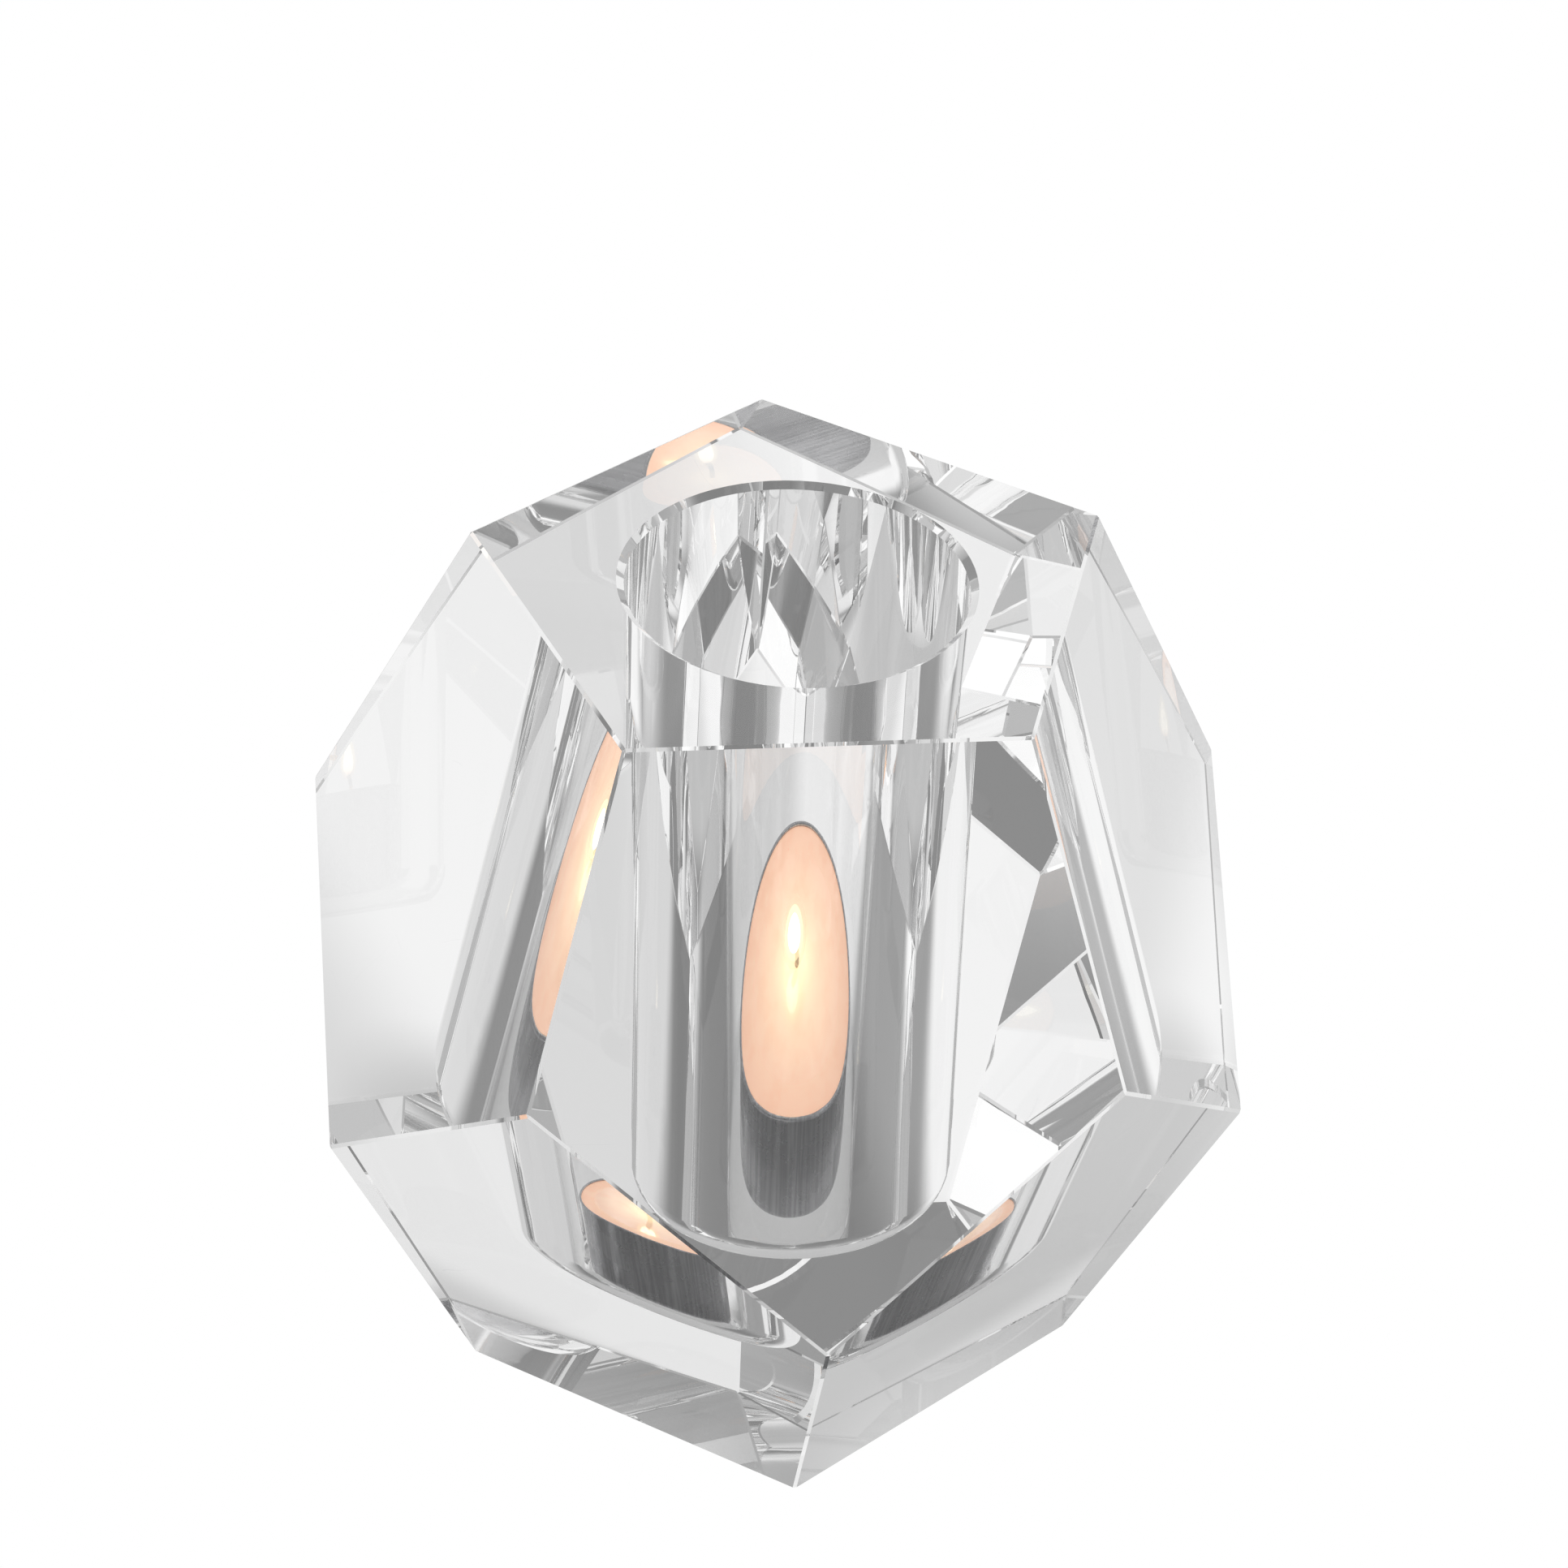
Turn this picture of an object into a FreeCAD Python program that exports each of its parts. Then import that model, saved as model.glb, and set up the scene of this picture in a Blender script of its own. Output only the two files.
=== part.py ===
# Glass tealight holder: a solid block of clear optical crystal with twelve polished
# facets (five leaning in, five leaning out, a top and a base) and a deep blind bore,
# with the tealight that stands on the floor of the bore.
#
# The origin is at the centre of the base, +Z up, and one of the five upper facets
# looks along -Y.  All sizes are in millimetres and all angles in degrees.
import FreeCAD, Part
import Sketcher
import os

doc = FreeCAD.newDocument("glass_tealight_holder")


# ---------------------------------------------------------------------------
# Driving dimensions
# ---------------------------------------------------------------------------
sheet = doc.addObject("Spreadsheet::Sheet", "sizes")

driving = [
    # the crystal block
    ("block_height", "130"),          # base facet to top facet
    ("facet_distance", "59.4"),       # centre of the block to the plane of every side facet
    ("facet_tilt", "21.4"),           # how far every side facet leans from upright
    ("edge_setback", "0.35"),         # ground flat along every straight edge
    # the blind bore for the candle
    ("candle_clearance", "5.5"),      # lip of the cup to the wall, at the mouth
    ("bore_depth", "100"),
    ("bore_draft", "0.6"),            # lean of the wall, which narrows downwards
    ("bore_floor_radius", "5.5"),     # left by the cutter between wall and floor
    ("rim_width", "1.1"),             # polished bevel around the mouth, seen from above
    ("rim_drop", "0.8"),              # depth of the same bevel
    ("seat_gap", "0.05"),             # air between the bore's floor and the loose cup
    # the tealight cup, drawn from thin aluminium sheet
    ("cup_diameter", "37.2"),         # outside of the wall
    ("cup_height", "19.4"),
    ("cup_sheet", "0.3"),
    ("cup_corner_radius", "2"),       # outside corner between wall and bottom
    ("lip_reach", "0.3"),             # how far the rolled lip stands out from the wall
    ("lip_height", "0.5"),
    ("panel_diameter", "26"),         # raised panel in the middle of the bottom
    ("panel_rise", "0.6"),
    # the wax, the wick and its foot
    ("wax_below_lip", "0.4"),
    ("wick_diameter", "1.3"),
    ("wick_above_wax", "1.2"),        # straight part, before the burnt end curls over
    ("curl_radius", "3"),
    ("curl_angle", "55"),
    ("foot_diameter", "12.5"),
    ("foot_sheet", "0.3"),
    ("neck_diameter", "2.3"),
    ("neck_height", "4"),             # underside of the foot to the top of its neck
]
for row, (alias, value) in enumerate(driving, start=1):
    sheet.set(f"A{row}", alias)
    sheet.set(f"B{row}", value)
    sheet.setAlias(f"B{row}", alias)
doc.recompute()

# Five facets lean in above the middle of the block and five lean out below it, half a
# pitch round from them.  They meet in a zigzag whose corners are the widest points.
FACETS_PER_RING = 5
FACET_PITCH = 360 / FACETS_PER_RING

# Lengths that follow from the driving dimensions, as expressions on the sheet.
END_APOTHEM = ("(sizes.facet_distance - sin(sizes.facet_tilt) * sizes.block_height / 2)"
               " / cos(sizes.facet_tilt)")
WEDGE_REACH = f"({END_APOTHEM} + sizes.block_height * tan(sizes.facet_tilt))"
WIDEST_RADIUS = f"2 * sizes.facet_distance / (cos(sizes.facet_tilt) * (1 + cos({FACET_PITCH / 2})))"
MOUTH_RADIUS = "(sizes.cup_diameter / 2 + sizes.lip_reach + sizes.candle_clearance)"
BORE_FLOOR = "(sizes.block_height - sizes.bore_depth)"
BORE_FLOOR_REACH = (f"({MOUTH_RADIUS}"
                    " - (sizes.bore_depth - sizes.rim_drop) * tan(sizes.bore_draft))")
CUP_SEAT = f"({BORE_FLOOR} + sizes.seat_gap)"
CUP_INSIDE = "(sizes.cup_diameter / 2 - sizes.cup_sheet)"
STEP_INSIDE = "(sizes.panel_diameter / 2 + sizes.cup_sheet)"
PANEL_TOP = "(sizes.panel_rise + sizes.cup_sheet)"
WAX_TOP = "(sizes.cup_height - sizes.wax_below_lip)"
WICK_STRAIGHT_TOP = f"({WAX_TOP} + sizes.wick_above_wax)"


# ---------------------------------------------------------------------------
# Shared steps
# ---------------------------------------------------------------------------
def new_body(label, floor="0"):
    """A body that stands at a given height on the axis of the block."""
    body = doc.addObject("PartDesign::Body", label)
    body.Label = label
    body.setExpression("Placement.Base.z", floor)
    return body


def new_sketch(body, name, plane, height=None):
    """An empty sketch on one of the body's own origin planes, raised by a height."""
    sketch = body.newObject("Sketcher::SketchObject", name)
    support = next(item for item in body.Origin.OriginFeatures if item.Role == plane)
    sketch.AttachmentSupport = [(support, "")]
    sketch.MapMode = "FlatFace"
    if height:
        sketch.setExpression("AttachmentOffset.Base.z", height)
    return sketch


def pin_point(sketch, geometry, end, place, name):
    """Hold one end of a line or arc at a place given by two expressions."""
    for axis, kind, expression in zip(("x", "y"), ("DistanceX", "DistanceY"), place):
        value = float(sketch.evalExpression(expression))
        number = sketch.addConstraint(Sketcher.Constraint(kind, -1, 1, geometry, end, value))
        sketch.renameConstraint(number, f"{name}_{axis}")
        sketch.setExpression(f"Constraints.{name}_{axis}", expression)


def place_of(sketch, place):
    return FreeCAD.Vector(*[float(sketch.evalExpression(part)) for part in place], 0)


def outline_sketch(body, name, plane, places):
    """A closed outline of straight lines through places given as pairs of expressions."""
    sketch = new_sketch(body, name, plane)
    corners = [place_of(sketch, place) for place in places]
    for start, end in zip(corners, corners[1:] + corners[:1]):
        sketch.addGeometry(Part.LineSegment(start, end))
    for number, place in enumerate(places):
        previous = (number - 1) % len(places)
        sketch.addConstraint(Sketcher.Constraint("Coincident", previous, 2, number, 1))
        pin_point(sketch, number, 1, place, f"corner{number}")
    return sketch


def circle_sketch(body, name, radius, height=None):
    """A circle about the body's axis, with its radius bound to an expression."""
    sketch = new_sketch(body, name, "XY_Plane", height)
    value = float(sketch.evalExpression(radius))
    sketch.addGeometry(Part.Circle(FreeCAD.Vector(0, 0, 0), FreeCAD.Vector(0, 0, 1), value))
    sketch.addConstraint(Sketcher.Constraint("Coincident", 0, 3, -1, 1))
    sketch.addConstraint(Sketcher.Constraint("Radius", 0, value))
    sketch.renameConstraint(1, "radius")
    sketch.setExpression("Constraints.radius", radius)
    return sketch


def turned(body, name, kind, places):
    """A Revolution or a Groove: an outline on the XZ plane turned about the upright axis."""
    feature = body.newObject(f"PartDesign::{kind}", name)
    feature.Profile = outline_sketch(body, f"{name}_outline", "XZ_Plane", places)
    feature.ReferenceAxis = (feature.Profile[0], ["V_Axis"])
    feature.Angle = 360
    return feature


def round_edges(body, name, radius, chosen):
    """A Fillet on the edges of the body's tip for which chosen(edge) is true."""
    return dress_edges(body, "Fillet", "Radius", name, radius, chosen)


def dress_edges(body, kind, size_property, name, size, chosen):
    doc.recompute()
    base = body.Tip
    names = [f"Edge{number}" for number, edge in enumerate(base.Shape.Edges, start=1)
             if chosen(edge)]
    if not names:
        raise RuntimeError(f"{body.Label}: no edge found for {name}")
    feature = body.newObject(f"PartDesign::{kind}", name)
    feature.Base = (base, names)
    feature.setExpression(size_property, size)
    return feature


def is_ring(edge, radius, height):
    """True for a full circle of that radius about the axis, at that height in its body."""
    if not isinstance(edge.Curve, Part.Circle):
        return False
    return abs(edge.Curve.Radius - radius) < 1e-4 and abs(edge.Curve.Center.z - height) < 1e-4


def is_straight(edge):
    return isinstance(edge.Curve, Part.Line)


def size_of(expression):
    return float(sheet.evalExpression(expression.replace("sizes.", "")))


# ---------------------------------------------------------------------------
# Crystal block: a round of crystal sawn and polished to twelve facets, then bored
# ---------------------------------------------------------------------------
def facet_ring(body, name, outline):
    """Saw one side facet off the block with a straight wedge and repeat it round the axis."""
    saw = body.newObject("PartDesign::Pocket", name)
    saw.Profile = outline_sketch(body, f"{name}_outline", "YZ_Plane", outline)
    saw.SideType = "Symmetric"
    saw.setExpression("Length", f"2 * {WEDGE_REACH}")

    ring = body.newObject("PartDesign::PolarPattern", f"{name}s")
    ring.Originals = [saw]
    upright = next(item for item in body.Origin.OriginFeatures if item.Role == "Z_Axis")
    ring.Axis = (upright, [""])
    ring.Angle = 360
    ring.Occurrences = FACETS_PER_RING
    body.Tip = ring


def make_crystal_block():
    body = new_body("crystal_block")

    stock = body.newObject("PartDesign::Pad", "round_stock")
    stock.Profile = circle_sketch(body, "stock_circle", f"({WIDEST_RADIUS} + {WEDGE_REACH}) / 2")
    stock.setExpression("Length", "sizes.block_height")

    facet_ring(body, "upper_facet", [
        (f"-{END_APOTHEM}", "sizes.block_height"),
        (f"-{WEDGE_REACH}", "sizes.block_height"),
        (f"-{WEDGE_REACH}", "0"),
    ])
    facet_ring(body, "lower_facet", [
        (END_APOTHEM, "0"),
        (WEDGE_REACH, "0"),
        (WEDGE_REACH, "sizes.block_height"),
    ])

    turned(body, "bore", "Groove", [
        ("0", "sizes.block_height"),
        (f"{MOUTH_RADIUS} + sizes.rim_width", "sizes.block_height"),
        (MOUTH_RADIUS, "sizes.block_height - sizes.rim_drop"),
        (BORE_FLOOR_REACH, BORE_FLOOR),
        ("0", BORE_FLOOR),
    ])
    floor_reach, floor_level = size_of(BORE_FLOOR_REACH), size_of(BORE_FLOOR)
    round_edges(body, "bore_floor_corner", "sizes.bore_floor_radius",
                lambda edge: is_ring(edge, floor_reach, floor_level))
    dress_edges(body, "Chamfer", "Size", "ground_edges", "sizes.edge_setback", is_straight)
    return body


# ---------------------------------------------------------------------------
# Tealight: a drawn cup full of wax, with a wick held upright by a crimped foot
# ---------------------------------------------------------------------------
def make_tealight_cup():
    body = new_body("tealight_cup", CUP_SEAT)
    wall = "sizes.cup_diameter / 2"
    turned(body, "cup", "Revolution", [
        ("0", "sizes.panel_rise"),
        ("sizes.panel_diameter / 2", "sizes.panel_rise"),
        ("sizes.panel_diameter / 2", "0"),
        (wall, "0"),
        (wall, "sizes.cup_height - sizes.lip_height"),
        (f"{wall} + sizes.lip_reach", "sizes.cup_height - sizes.lip_height"),
        (f"{wall} + sizes.lip_reach", "sizes.cup_height"),
        (CUP_INSIDE, "sizes.cup_height"),
        (CUP_INSIDE, "sizes.cup_sheet"),
        (STEP_INSIDE, "sizes.cup_sheet"),
        (STEP_INSIDE, PANEL_TOP),
        ("0", PANEL_TOP),
    ])
    outside, inside = size_of(wall), size_of(CUP_INSIDE)
    lip = size_of(f"{wall} + sizes.lip_reach")
    lip_top = size_of("sizes.cup_height")
    lip_bottom = size_of("sizes.cup_height - sizes.lip_height")
    round_edges(body, "outer_corner", "sizes.cup_corner_radius",
                lambda edge: is_ring(edge, outside, 0))
    round_edges(body, "inner_corner", "sizes.cup_corner_radius - sizes.cup_sheet",
                lambda edge: is_ring(edge, inside, size_of("sizes.cup_sheet")))
    round_edges(body, "rolled_lip", "0.45 * min(sizes.lip_height; sizes.lip_reach + sizes.cup_sheet)",
                lambda edge: (is_ring(edge, lip, lip_top) or is_ring(edge, lip, lip_bottom)
                              or is_ring(edge, inside, lip_top)))
    return body


def make_wax():
    body = new_body("wax", CUP_SEAT)
    wick, neck, foot = (f"sizes.{name}_diameter / 2" for name in ("wick", "neck", "foot"))
    neck_top = f"{PANEL_TOP} + sizes.neck_height"
    foot_top = f"{PANEL_TOP} + sizes.foot_sheet"
    turned(body, "wax_fill", "Revolution", [
        (wick, WAX_TOP),
        (wick, neck_top),
        (neck, neck_top),
        (neck, foot_top),
        (foot, foot_top),
        (foot, PANEL_TOP),
        (STEP_INSIDE, PANEL_TOP),
        (STEP_INSIDE, "sizes.cup_sheet"),
        (CUP_INSIDE, "sizes.cup_sheet"),
        (CUP_INSIDE, WAX_TOP),
    ])
    inside = size_of(CUP_INSIDE)
    round_edges(body, "wax_corner", "sizes.cup_corner_radius - sizes.cup_sheet",
                lambda edge: is_ring(edge, inside, size_of("sizes.cup_sheet")))
    return body


def make_wick_foot():
    body = new_body("wick_foot", f"{CUP_SEAT} + {PANEL_TOP}")
    wick, neck, foot = (f"sizes.{name}_diameter / 2" for name in ("wick", "neck", "foot"))
    turned(body, "foot", "Revolution", [
        (wick, "0"),
        (foot, "0"),
        (foot, "sizes.foot_sheet"),
        (neck, "sizes.foot_sheet"),
        (neck, "sizes.neck_height"),
        (wick, "sizes.neck_height"),
    ])
    return body


def make_wick():
    """A cord straight up from the foot, whose burnt end curls over towards -X."""
    body = new_body("wick", CUP_SEAT)
    path = new_sketch(body, "wick_path", "XZ_Plane")
    foot, top = ("0", PANEL_TOP), ("0", WICK_STRAIGHT_TOP)
    centre = ("-sizes.curl_radius", WICK_STRAIGHT_TOP)
    tip = ("-sizes.curl_radius * (1 - cos(sizes.curl_angle))",
           f"{WICK_STRAIGHT_TOP} + sizes.curl_radius * sin(sizes.curl_angle)")
    middle = ("-sizes.curl_radius * (1 - cos(sizes.curl_angle / 2))",
              f"{WICK_STRAIGHT_TOP} + sizes.curl_radius * sin(sizes.curl_angle / 2)")
    path.addGeometry(Part.LineSegment(place_of(path, foot), place_of(path, top)))
    path.addGeometry(Part.Arc(*[place_of(path, place) for place in (top, middle, tip)]))
    pin_point(path, 0, 1, foot, "foot")
    pin_point(path, 0, 2, top, "top")
    # The arc runs anticlockwise, from the top of the straight part to the tip.
    path.addConstraint(Sketcher.Constraint("Coincident", 0, 2, 1, 1))
    pin_point(path, 1, 3, centre, "centre")
    number = path.addConstraint(Sketcher.Constraint("DistanceY", -1, 1, 1, 2, place_of(path, tip).y))
    path.renameConstraint(number, "tip_height")
    path.setExpression("Constraints.tip_height", tip[1])

    cord = body.newObject("PartDesign::AdditivePipe", "cord")
    cord.Profile = circle_sketch(body, "cord_circle", "sizes.wick_diameter / 2", PANEL_TOP)
    cord.Spine = (path, [])
    return body


bodies = [
    make_crystal_block(),
    make_tealight_cup(),
    make_wax(),
    make_wick_foot(),
    make_wick(),
]


# ---------------------------------------------------------------------------
# Check and write
# ---------------------------------------------------------------------------
doc.recompute()
for item in doc.Objects:
    if "Invalid" in item.State or "Error" in item.State:
        raise RuntimeError(f"{item.Label}: {item.State}")

for body in bodies:
    shape = body.Shape
    if shape.isNull() or not shape.isValid() or len(shape.Solids) != 1:
        raise RuntimeError(f"{body.Label}: not one valid solid")

os.makedirs("parts", exist_ok=True)
for body in bodies:
    body.Shape.exportStep(f"parts/{body.Label}.step")
    box = body.Shape.BoundBox
    print(f"{body.Label}: {body.Shape.Volume:.1f} mm3, X {box.XMin:.2f}..{box.XMax:.2f}, "
          f"Y {box.YMin:.2f}..{box.YMax:.2f}, Z {box.ZMin:.2f}..{box.ZMax:.2f}")
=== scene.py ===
import math

import bmesh
import bpy
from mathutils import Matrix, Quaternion, Vector


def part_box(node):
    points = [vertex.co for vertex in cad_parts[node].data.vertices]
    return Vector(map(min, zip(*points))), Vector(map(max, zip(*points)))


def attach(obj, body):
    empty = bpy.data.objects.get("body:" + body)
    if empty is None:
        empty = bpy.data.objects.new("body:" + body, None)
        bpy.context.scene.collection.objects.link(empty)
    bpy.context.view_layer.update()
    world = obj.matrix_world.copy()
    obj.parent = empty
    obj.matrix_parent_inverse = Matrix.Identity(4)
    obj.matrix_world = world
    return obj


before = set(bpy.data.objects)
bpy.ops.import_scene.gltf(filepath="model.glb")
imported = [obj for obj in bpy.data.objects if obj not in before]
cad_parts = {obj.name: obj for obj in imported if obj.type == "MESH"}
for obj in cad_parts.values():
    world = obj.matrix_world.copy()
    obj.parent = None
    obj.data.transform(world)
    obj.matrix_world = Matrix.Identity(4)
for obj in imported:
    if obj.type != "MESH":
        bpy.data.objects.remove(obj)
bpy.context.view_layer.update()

scene = bpy.context.scene


# --- Camera ---------------------------------------------------------------------------
# A long lens looks down on the front left of the block from about eight tenths of a
# metre, held a few degrees off level.
block_low, block_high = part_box("crystal_block")
look_at = Vector((0.0016, 0.0141, (block_low[2] + block_high[2]) / 2 + 0.0189))
camera_distance = 0.8137
focal_length = 126.87                    # in millimetres, on a sensor 36 wide
camera_azimuth = math.radians(8.13)      # round from -Y towards -X
camera_elevation = math.radians(36.76)
camera_roll = math.radians(3.06)

towards_camera = Vector((-math.sin(camera_azimuth) * math.cos(camera_elevation),
                         -math.cos(camera_azimuth) * math.cos(camera_elevation),
                         math.sin(camera_elevation)))
camera = bpy.data.objects.new("camera", bpy.data.cameras.new("camera"))
camera.data.sensor_width = 36
camera.data.lens = focal_length
camera.location = look_at + towards_camera * camera_distance
camera.rotation_mode = "QUATERNION"
camera.rotation_quaternion = (towards_camera.to_track_quat("Z", "Y")
                              @ Quaternion((0, 0, 1), camera_roll))
scene.collection.objects.link(camera)
scene.camera = camera


# --- Studio ---------------------------------------------------------------------------
# Clear crystal is lit by what it bends into view: a white sweep behind it, brighter on
# the right, a long soft light low in front, and a dim room above and around.  On the
# table, a painted shadow of the block lies over the near side, with painted shade under the
# block.  Seen straight, past the block, everything is plain white.
SWEEP_LEFT = 0.70
SWEEP_RIGHT = 0.93
SWEEP_RIGHT_ABOVE = 1.05
ROOM_LOW = 0.33
FRONT_LIGHT = 0.85
ROOM_FRONT = 0.44
ROOM_ABOVE = 0.25
# Painted shadow of the block on the table's near side, darker to the left; only bent rays see
# it.
TABLE_NEAR_PAINTED_SHADOW = 0.21
TABLE_NEAR_PAINTED_SHADOW_RIGHT = 0.34
# Painted shade on the table under the block; only bent rays see it.
TABLE_UNDER_BLOCK_PAINTED_SHADE = 0.54
BOUNCES = 32                             # light crosses the block many times before it leaves
TABLE_RADIUS = 4
TABLE_DROP = 0.0002                      # keeps the table's face clear of the base facet

scene.view_settings.view_transform = "Standard"
scene.cycles.max_bounces = BOUNCES
scene.cycles.transmission_bounces = BOUNCES
scene.cycles.glossy_bounces = BOUNCES
scene.cycles.sample_clamp_indirect = 0
scene.cycles.caustics_reflective = True
scene.cycles.caustics_refractive = True


def joined(tree, kind, sources, **settings):
    """A new node of that kind; sources gives its inputs values, or outputs to read."""
    node = tree.nodes.new(kind)
    for name, value in settings.items():
        setattr(node, name, value)
    for key, source in sources.items():
        if isinstance(source, bpy.types.NodeSocket):
            tree.links.new(source, node.inputs[key])
        else:
            node.inputs[key].default_value = source
    return node


def ramped(tree, value, start, end, first=0.0, last=1.0):
    """Goes smoothly from first to last as value goes from start to end."""
    return joined(tree, "ShaderNodeMapRange",
                  {"Value": value, "From Min": start, "From Max": end,
                   "To Min": first, "To Max": last},
                  interpolation_type="SMOOTHSTEP").outputs["Result"]


def split_place(tree, coordinates):
    """The X, Y and Z of a place given in those coordinates."""
    source = tree.nodes.new("ShaderNodeTexCoord").outputs[coordinates]
    return joined(tree, "ShaderNodeSeparateXYZ", {"Vector": source}).outputs


studio = bpy.data.worlds.new("studio")
scene.world = studio
studio.use_nodes = True
tree = studio.node_tree
across, away, up = split_place(tree, "Generated")
sweep_right = ramped(tree, up, 0.40, 0.50, SWEEP_RIGHT, SWEEP_RIGHT_ABOVE)
sweep = ramped(tree, across, -0.10, 0.10, SWEEP_LEFT, sweep_right)
lit_front = ramped(tree, up, 0.17, 0.25, ROOM_LOW, FRONT_LIGHT)
front = ramped(tree, up, 0.40, 0.48, lit_front, ROOM_FRONT)
around = ramped(tree, away, -0.10, 0.10, front, sweep)
bent = ramped(tree, up, 0.84, 0.89, around, ROOM_ABOVE)
straight = tree.nodes.new("ShaderNodeLightPath").outputs["Is Camera Ray"]
background = tree.nodes["Background"]
background.inputs["Color"].default_value = (1, 1, 1, 1)
tree.links.new(ramped(tree, straight, 0, 1, bent, 1.0), background.inputs["Strength"])

bm = bmesh.new()
bmesh.ops.create_circle(bm, cap_ends=True, segments=96, radius=TABLE_RADIUS)
bmesh.ops.translate(bm, verts=bm.verts, vec=(0, 0, -TABLE_DROP))
floor = bpy.data.objects.new("floor", bpy.data.meshes.new("floor"))
bm.to_mesh(floor.data)
bm.free()
scene.collection.objects.link(floor)

table = bpy.data.materials.new("white_table")
table.use_nodes = True
tree = table.node_tree
tree.nodes.remove(tree.nodes["Principled BSDF"])
across, away, up = split_place(tree, "Object")
sweep = ramped(tree, across, -0.02, 0.02, SWEEP_LEFT, SWEEP_RIGHT)
# Painted shadow of the block over the table's near side.
near = ramped(tree, across, 0.04, 0.09, TABLE_NEAR_PAINTED_SHADOW, TABLE_NEAR_PAINTED_SHADOW_RIGHT)
open_table = ramped(tree, away, -0.01, 0.02, near, sweep)
from_axis = joined(tree, "ShaderNodeVectorMath",
                   {0: tree.nodes["Texture Coordinate"].outputs["Object"]},
                   operation="LENGTH").outputs["Value"]
# Painted shade on the table under the block.
bent = ramped(tree, from_axis, 0.036, 0.050, TABLE_UNDER_BLOCK_PAINTED_SHADE, open_table)
straight = tree.nodes.new("ShaderNodeLightPath").outputs["Is Camera Ray"]
glow = joined(tree, "ShaderNodeEmission", {"Strength": ramped(tree, straight, 0, 1, bent, 1.0)})
tree.links.new(glow.outputs[0], tree.nodes["Material Output"].inputs["Surface"])
floor.data.materials.append(table)


# --- Crystal block --------------------------------------------------------------------
# One solid piece of clear optical crystal, sawn, ground and polished to twelve flat
# facets, then bored.  It keeps faint polishing waves, hairline scratches and dust.
CRYSTAL_INDEX = 1.53
CRYSTAL_MARKED = (0.90, 0.90, 0.91, 1)   # where a scratch or a speck of dust dims it
POLISH_WAVE = 0.000004


def new_group(name, inputs, outputs):
    """A new shader group; an input with no default is a place, and the rest are numbers."""
    group = bpy.data.node_groups.new(name, "ShaderNodeTree")
    for label, value in inputs.items():
        kind = "NodeSocketVector" if value is None else "NodeSocketFloat"
        socket = group.interface.new_socket(label, in_out="INPUT", socket_type=kind)
        if value is not None:
            socket.default_value = value
    for label in outputs:
        group.interface.new_socket(label, in_out="OUTPUT", socket_type="NodeSocketFloat")
    return (group, group.nodes.new("NodeGroupInput").outputs,
            group.nodes.new("NodeGroupOutput").inputs)


# Specks: scattered soft dots, for dust on the crystal and soot in the wax.
specks, given, result = new_group("specks", {"Place": None, "Scale": 300.0, "Size": 0.1,
                                             "Share": 0.2}, ["Mask"])
cells = joined(specks, "ShaderNodeTexVoronoi",
               {"Vector": given["Place"], "Scale": given["Scale"]})
dot = ramped(specks, cells.outputs["Distance"], given["Size"], 0.0)
luck = joined(specks, "ShaderNodeSeparateColor", {"Color": cells.outputs["Color"]})
kept = joined(specks, "ShaderNodeMath", {0: luck.outputs["Red"], 1: given["Share"]},
              operation="LESS_THAN").outputs[0]
specks.links.new(joined(specks, "ShaderNodeMath", {0: dot, 1: kept},
                        operation="MULTIPLY").outputs[0], result["Mask"])

# Hairlines: long thin scratches that run every way, from stretched, bent noise.
hairlines, given, result = new_group("hairlines", {"Place": None, "Scale": 60.0,
                                                   "Width": 0.004}, ["Mask"])
bend = joined(hairlines, "ShaderNodeTexNoise",
              {"Vector": given["Place"], "Scale": 25.0, "Detail": 1.0})
bent_place = joined(hairlines, "ShaderNodeVectorMath",
                    {0: bend.outputs["Color"], 1: (0.03, 0.03, 0.03), 2: given["Place"]},
                    operation="MULTIPLY_ADD").outputs["Vector"]
edges = joined(hairlines, "ShaderNodeTexVoronoi",
               {"Vector": bent_place, "Scale": given["Scale"], "Randomness": 1.0},
               feature="DISTANCE_TO_EDGE")
broken = joined(hairlines, "ShaderNodeTexNoise",
                {"Vector": given["Place"], "Scale": 90.0, "Detail": 0.0})
line = ramped(hairlines, edges.outputs["Distance"], given["Width"], 0.0)
present = ramped(hairlines, broken.outputs["Fac"], 0.62, 0.66)
hairlines.links.new(joined(hairlines, "ShaderNodeMath", {0: line, 1: present},
                           operation="MULTIPLY").outputs[0], result["Mask"])


def finish_of(name):
    """A new material, with its node tree, shader and object coordinates."""
    material = bpy.data.materials.new(name)
    material.use_nodes = True
    tree = material.node_tree
    place = tree.nodes.new("ShaderNodeTexCoord").outputs["Object"]
    return material, tree, tree.nodes["Principled BSDF"], place


def placed(tree, group, **inputs):
    """A shader group in a material, with its inputs set or linked; gives its outputs."""
    node = joined(tree, "ShaderNodeGroup", {}, node_tree=group)
    for name, source in inputs.items():
        if isinstance(source, bpy.types.NodeSocket):
            tree.links.new(source, node.inputs[name])
        else:
            node.inputs[name].default_value = source
    return node.outputs


def blended(tree, share, first, second):
    """The first colour, going over to the second as share goes from 0 to 1."""
    node = tree.nodes.new("ShaderNodeMix")
    node.data_type = "RGBA"
    factor, color_a, color_b = node.inputs[0], node.inputs[6], node.inputs[7]
    tree.links.new(share, factor)
    for socket, color in ((color_a, first), (color_b, second)):
        if isinstance(color, bpy.types.NodeSocket):
            tree.links.new(color, socket)
        else:
            socket.default_value = color
    return node.outputs[2]


def dress(node, material):
    """Give a node of the frame its finish."""
    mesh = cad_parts[node].data
    mesh.materials.clear()
    mesh.materials.append(material)


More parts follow.
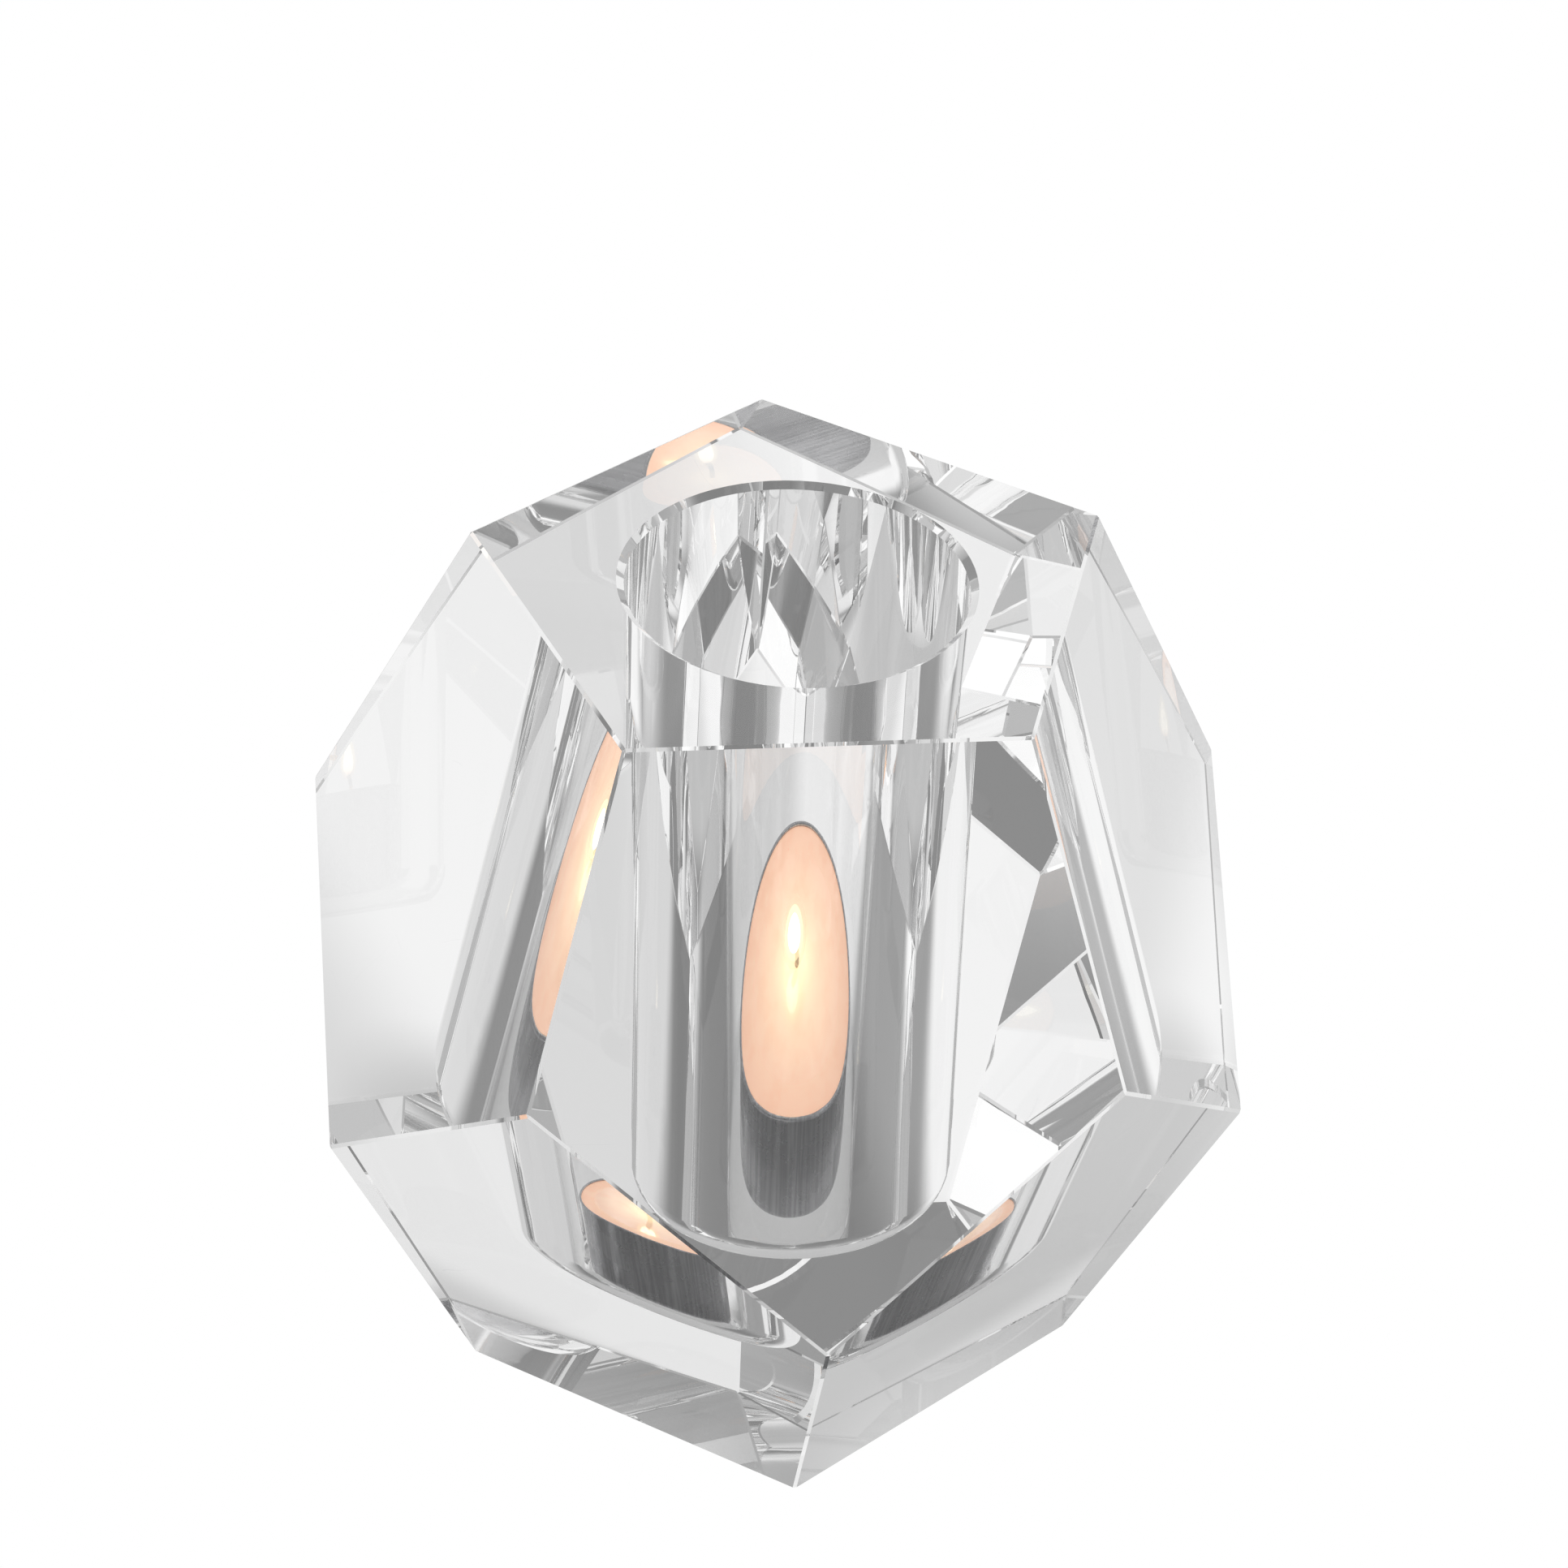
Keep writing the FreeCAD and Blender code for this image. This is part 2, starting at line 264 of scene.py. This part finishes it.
crystal, tree, shader, place = finish_of("crystal")
shader.inputs["Roughness"].default_value = 0.0
shader.inputs["Transmission Weight"].default_value = 1.0
shader.inputs["IOR"].default_value = CRYSTAL_INDEX
dust = placed(tree, specks, Place=place, Scale=420.0, Size=0.12, Share=0.10)["Mask"]
scratch = placed(tree, hairlines, Place=place, Scale=70.0, Width=0.0022)["Mask"]
marks = joined(tree, "ShaderNodeMath", {0: dust, 1: scratch}, operation="MAXIMUM").outputs[0]
tree.links.new(blended(tree, marks, (1, 1, 1, 1), CRYSTAL_MARKED),
               shader.inputs["Base Color"])
waves = joined(tree, "ShaderNodeTexNoise", {"Vector": place, "Scale": 55.0, "Detail": 1.0})
relief = joined(tree, "ShaderNodeBump", {"Height": waves.outputs["Fac"], "Strength": 1.0,
                                         "Distance": POLISH_WAVE})
tree.links.new(relief.outputs["Normal"], shader.inputs["Normal"])
dress("crystal_block", crystal)


# --- Tealight cup ---------------------------------------------------------------------
# A thin aluminium can, deep-drawn from bright sheet, which leaves faint upright streaks
# in its wall and a rolled lip.  It stands loose on the floor of the bore.
CUP_BRIGHT = (0.46, 0.46, 0.47, 1)
CUP_DULL = (0.33, 0.33, 0.34, 1)

cup, tree, shader, place = finish_of("cup_aluminium")
drawn = joined(tree, "ShaderNodeMapping", {"Vector": place, "Scale": (2200, 2200, 50)})
streaks = joined(tree, "ShaderNodeTexNoise", {"Vector": drawn.outputs["Vector"], "Scale": 1.0,
                                              "Detail": 3.0}).outputs["Fac"]
smudges = joined(tree, "ShaderNodeTexNoise", {"Vector": place, "Scale": 180.0,
                                              "Detail": 4.0}).outputs["Fac"]
tree.links.new(blended(tree, ramped(tree, streaks, 0.35, 0.65), CUP_BRIGHT, CUP_DULL),
               shader.inputs["Base Color"])
shader.inputs["Metallic"].default_value = 1.0
tree.links.new(ramped(tree, smudges, 0.35, 0.70, 0.20, 0.38), shader.inputs["Roughness"])
relief = joined(tree, "ShaderNodeBump", {"Height": streaks, "Strength": 0.5,
                                         "Distance": 0.00003})
tree.links.new(relief.outputs["Normal"], shader.inputs["Normal"])
dress("tealight_cup", cup)


# --- Wax ------------------------------------------------------------------------------
# Pale paraffin cast in the cup.  The flame has melted a clear, glossy pool round the
# wick; the flame's light inside the wax is painted as a glow, warmest near the middle.
WAX_BODY = (0.93, 0.79, 0.68, 1)
WAX_MOTTLE = (0.88, 0.71, 0.60, 1)
WAX_SOOT = (0.45, 0.33, 0.26, 1)
# Painted glow: colours of the flame's light inside the wax, from the wick out to the edge.
GLOW_WICK = (1.0, 0.72, 0.38, 1)
GLOW_MIDDLE = (0.82, 0.49, 0.27, 1)
GLOW_EDGE = (0.70, 0.35, 0.20, 1)
POOL_RADIUS = 0.0145
POOL_EDGE = 0.001                        # half the width over which the pool sets

wax_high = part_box("wax")[1]
wax_radius = wax_high[0]
wax, tree, shader, place = finish_of("candle_wax")
flat_place = joined(tree, "ShaderNodeVectorMath", {0: place, 1: (1, 1, 0)},
                    operation="MULTIPLY").outputs["Vector"]
from_wick = joined(tree, "ShaderNodeVectorMath", {0: flat_place},
                   operation="LENGTH").outputs["Value"]
mottle = joined(tree, "ShaderNodeTexNoise", {"Vector": place, "Scale": 260.0,
                                             "Detail": 4.0}).outputs["Fac"]
soot = placed(tree, specks, Place=place, Scale=520.0, Size=0.16, Share=0.05)["Mask"]
body = blended(tree, ramped(tree, mottle, 0.40, 0.65), WAX_BODY, WAX_MOTTLE)
tree.links.new(blended(tree, soot, body, WAX_SOOT), shader.inputs["Base Color"])
# Painted glow in the wax, brightest round the wick and dimmer towards the edge.
outer = blended(tree, ramped(tree, from_wick, 0.006, wax_radius), GLOW_MIDDLE, GLOW_EDGE)
glow = blended(tree, ramped(tree, from_wick, 0.0015, 0.0085), GLOW_WICK, outer)
tree.links.new(glow, shader.inputs["Emission Color"])
shader.inputs["Emission Strength"].default_value = 0.9
tree.links.new(ramped(tree, from_wick, POOL_RADIUS - POOL_EDGE, POOL_RADIUS + POOL_EDGE,
                      0.06, 0.42), shader.inputs["Roughness"])
tree.links.new(ramped(tree, from_wick, POOL_RADIUS - POOL_EDGE, POOL_RADIUS + POOL_EDGE,
                      1.0, 0.0), shader.inputs["Coat Weight"])
shader.inputs["Coat Roughness"].default_value = 0.0
relief = joined(tree, "ShaderNodeBump", {"Height": mottle, "Strength": 0.35,
                                         "Distance": 0.00005})
tree.links.new(relief.outputs["Normal"], shader.inputs["Normal"])
dress("wax", wax)


# --- Wick -----------------------------------------------------------------------------
# Braided cotton, primed with wax.  It is soaked and pale where it leaves the pool, and
# burnt black where it curls over, with an ember at the tip.
WICK_SOAKED = (0.80, 0.62, 0.38, 1)
WICK_SHADED = (0.45, 0.33, 0.20, 1)      # between the strands of the braid
WICK_BURNT = (0.030, 0.022, 0.018, 1)
EMBER = (1.0, 0.22, 0.03, 1)

wick_low, wick_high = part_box("wick")
wick, tree, shader, place = finish_of("wick_cotton")
height = joined(tree, "ShaderNodeSeparateXYZ", {"Vector": place}).outputs["Z"]
strands = joined(tree, "ShaderNodeTexWave", {"Vector": place, "Scale": 520.0,
                                             "Distortion": 2.0, "Detail": 1.0},
                 bands_direction="DIAGONAL").outputs["Fac"]
char = ramped(tree, height, wax_high[2] + 0.0008, wax_high[2] + 0.0022)
cotton = blended(tree, strands, WICK_SHADED, WICK_SOAKED)
tree.links.new(blended(tree, char, cotton, WICK_BURNT), shader.inputs["Base Color"])
heat = ramped(tree, height, wick_high[2] - 0.0006, wick_high[2])
tree.links.new(blended(tree, heat, (0, 0, 0, 1), EMBER), shader.inputs["Emission Color"])
shader.inputs["Emission Strength"].default_value = 2.0
shader.inputs["Roughness"].default_value = 0.85
relief = joined(tree, "ShaderNodeBump", {"Height": strands, "Strength": 0.8,
                                         "Distance": 0.0001})
tree.links.new(relief.outputs["Normal"], shader.inputs["Normal"])
dress("wick", wick)


# --- Wick foot ------------------------------------------------------------------------
# A stamped disc of tin plate with a neck crimped round the wick.  It is set in the wax
# and holds the wick upright; the tin has set in patches of duller and brighter crystals.
TIN_DULL = (0.62, 0.61, 0.59, 1)
TIN_BRIGHT = (0.76, 0.75, 0.73, 1)

foot, tree, shader, place = finish_of("tinned_steel")
spangle = joined(tree, "ShaderNodeTexVoronoi", {"Vector": place, "Scale": 900.0})
patches = joined(tree, "ShaderNodeSeparateColor", {"Color": spangle.outputs["Color"]})
tree.links.new(blended(tree, patches.outputs["Red"], TIN_DULL, TIN_BRIGHT),
               shader.inputs["Base Color"])
tree.links.new(ramped(tree, patches.outputs["Green"], 0, 1, 0.28, 0.46),
               shader.inputs["Roughness"])
shader.inputs["Metallic"].default_value = 1.0
dress("wick_foot", foot)


# --- Flame ----------------------------------------------------------------------------
# A small steady flame standing on the curled end of the wick, made as three nested
# shells: a white-hot core, a yellow body and a faint mantle round both.
CURL_LEAN = 0.0007                       # how far past the wick's middle its tip hangs
flame_x = (wick_low[0] + wick_high[0]) / 2 - CURL_LEAN
# Half the flame's outline, foot to tip, as shares of its radius and of its height.
FLAME_OUTLINE = ((0, 0), (0.52, 0.05), (0.88, 0.18), (1.0, 0.33), (0.90, 0.50),
                 (0.66, 0.68), (0.37, 0.84), (0.14, 0.95), (0, 1))


def flame_shell(name, radius, bottom, top, color, strength, alpha):
    """One shell of the flame, cooler in colour and fainter towards its foot."""
    bm = bmesh.new()
    rim = [bm.verts.new((radius * out, 0, bottom + (top - bottom) * share))
           for out, share in FLAME_OUTLINE]
    outline = [bm.edges.new(pair) for pair in zip(rim, rim[1:])]
    bmesh.ops.spin(bm, geom=rim + outline, cent=(0, 0, 0), axis=(0, 0, 1),
                   angle=math.tau, steps=32, use_merge=True)
    bmesh.ops.remove_doubles(bm, verts=bm.verts, dist=1e-6)
    bmesh.ops.recalc_face_normals(bm, faces=bm.faces)
    bmesh.ops.translate(bm, verts=bm.verts, vec=(flame_x, 0, 0))
    for face in bm.faces:
        face.smooth = True
    piece = bpy.data.objects.new(name, bpy.data.meshes.new(name))
    bm.to_mesh(piece.data)
    bm.free()
    scene.collection.objects.link(piece)
    smooth = piece.modifiers.new("smooth", "SUBSURF")
    smooth.levels = smooth.render_levels = 1
    material, tree, shader, place = finish_of(name)
    height = joined(tree, "ShaderNodeSeparateXYZ", {"Vector": place}).outputs["Z"]
    low_part = ramped(tree, height, bottom, bottom + (top - bottom) * 0.35)
    foot_color = (color[0] * 0.8, color[1] * 0.62, color[2] * 0.55, 1)
    tree.links.new(blended(tree, low_part, foot_color, (*color, 1)),
                   shader.inputs["Emission Color"])
    tree.links.new(ramped(tree, height, bottom, bottom + (top - bottom) * 0.40,
                          alpha * 0.3, alpha), shader.inputs["Alpha"])
    shader.inputs["Emission Strength"].default_value = strength
    shader.inputs["Base Color"].default_value = (0, 0, 0, 1)
    shader.inputs["Specular IOR Level"].default_value = 0
    shader.inputs["Roughness"].default_value = 1.0
    piece.data.materials.append(material)
    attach(piece, "tealight")


pool = wax_high[2]
flame_shell("flame_core", 0.0021, pool + 0.0034, pool + 0.0094, (1.0, 0.93, 0.74), 5.0, 1.0)
flame_shell("flame_body", 0.0031, pool + 0.0027, pool + 0.0108, (1.0, 0.82, 0.46), 2.0, 0.45)
flame_shell("flame_mantle", 0.0042, pool + 0.0023, pool + 0.0125, (1.0, 0.82, 0.56), 1.1, 0.14)
